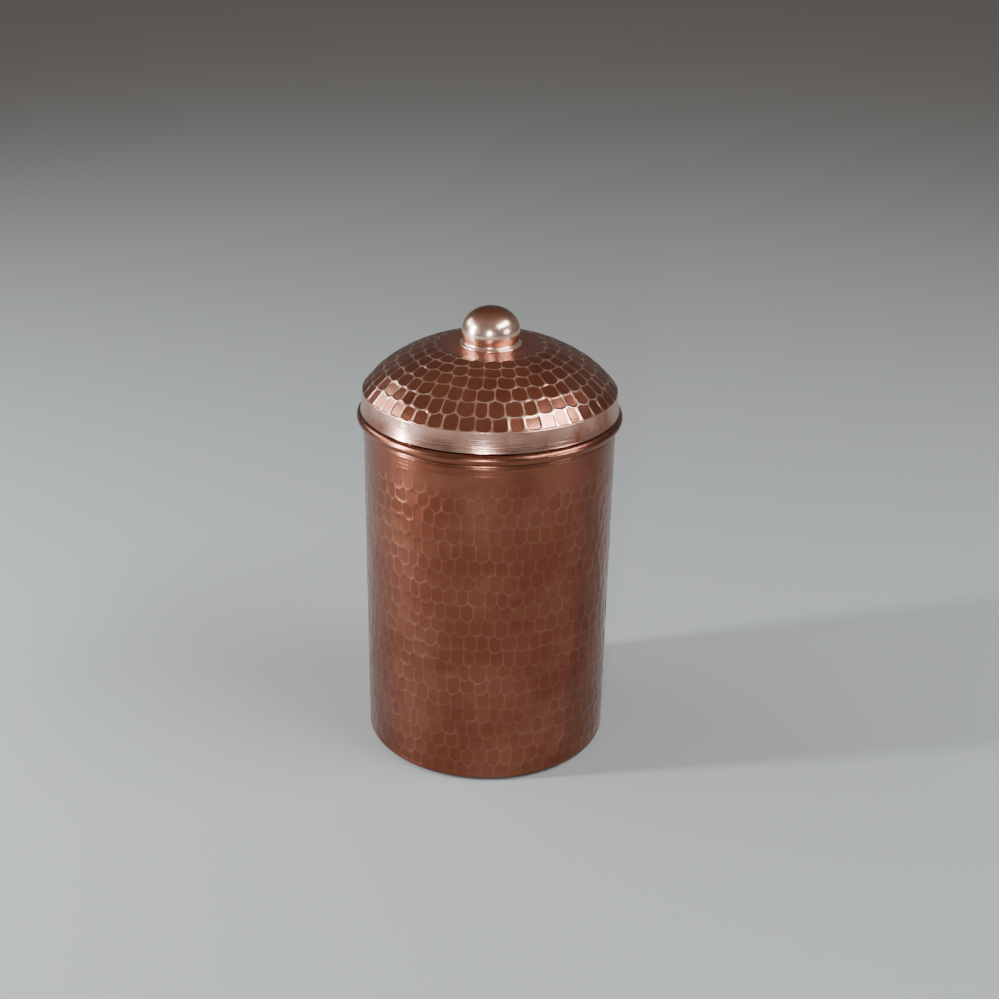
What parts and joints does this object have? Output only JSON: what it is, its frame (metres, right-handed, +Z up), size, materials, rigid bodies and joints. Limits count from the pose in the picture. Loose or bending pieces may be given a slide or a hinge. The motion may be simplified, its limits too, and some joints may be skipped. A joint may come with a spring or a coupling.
{
  "type": "tea caddy",
  "caption": "Round hammered copper tea caddy with a wired rim and a domed lift-off lid that carries a turned ball knob; keeps loose tea leaves dry.",
  "frame": {"origin": "centre of the standing face, on the axis of the round body", "axes": "+Z up along the axis of the body and the lid; X and Y are any two level directions, because the caddy is round"},
  "size_m": [0.1052, 0.1052, 0.1834],
  "materials": {
    "hammered_copper": "hand-hammered copper, satin, slightly aged",
    "satin_copper": "copper turned and brushed round the axis, satin",
    "polished_copper": "copper polished to a mirror",
    "tin_lining": "hot tin lining, pale grey, soft satin with wiping marks",
    "brass_fastener": "plain turned brass"
  },
  "bodies": {
    "caddy": {"body_shell": "hammered_copper", "rim_wire": "satin_copper", "body_tin_lining": "tin_lining"},
    "lid": {"lid_dome": "hammered_copper", "lid_band": "satin_copper", "lid_sleeve": "satin_copper", "lid_tin_lining": "tin_lining", "knob_ball": "polished_copper", "knob_base_ring": "polished_copper", "knob_screw": "brass_fastener", "knob_washer": "brass_fastener"}
  },
  "joints": [
    {"name": "lid_lift", "type": "slide", "parent": "caddy", "child": "lid", "axis": [0, 0, 1], "range_m": [0, 0.06]}
  ]
}
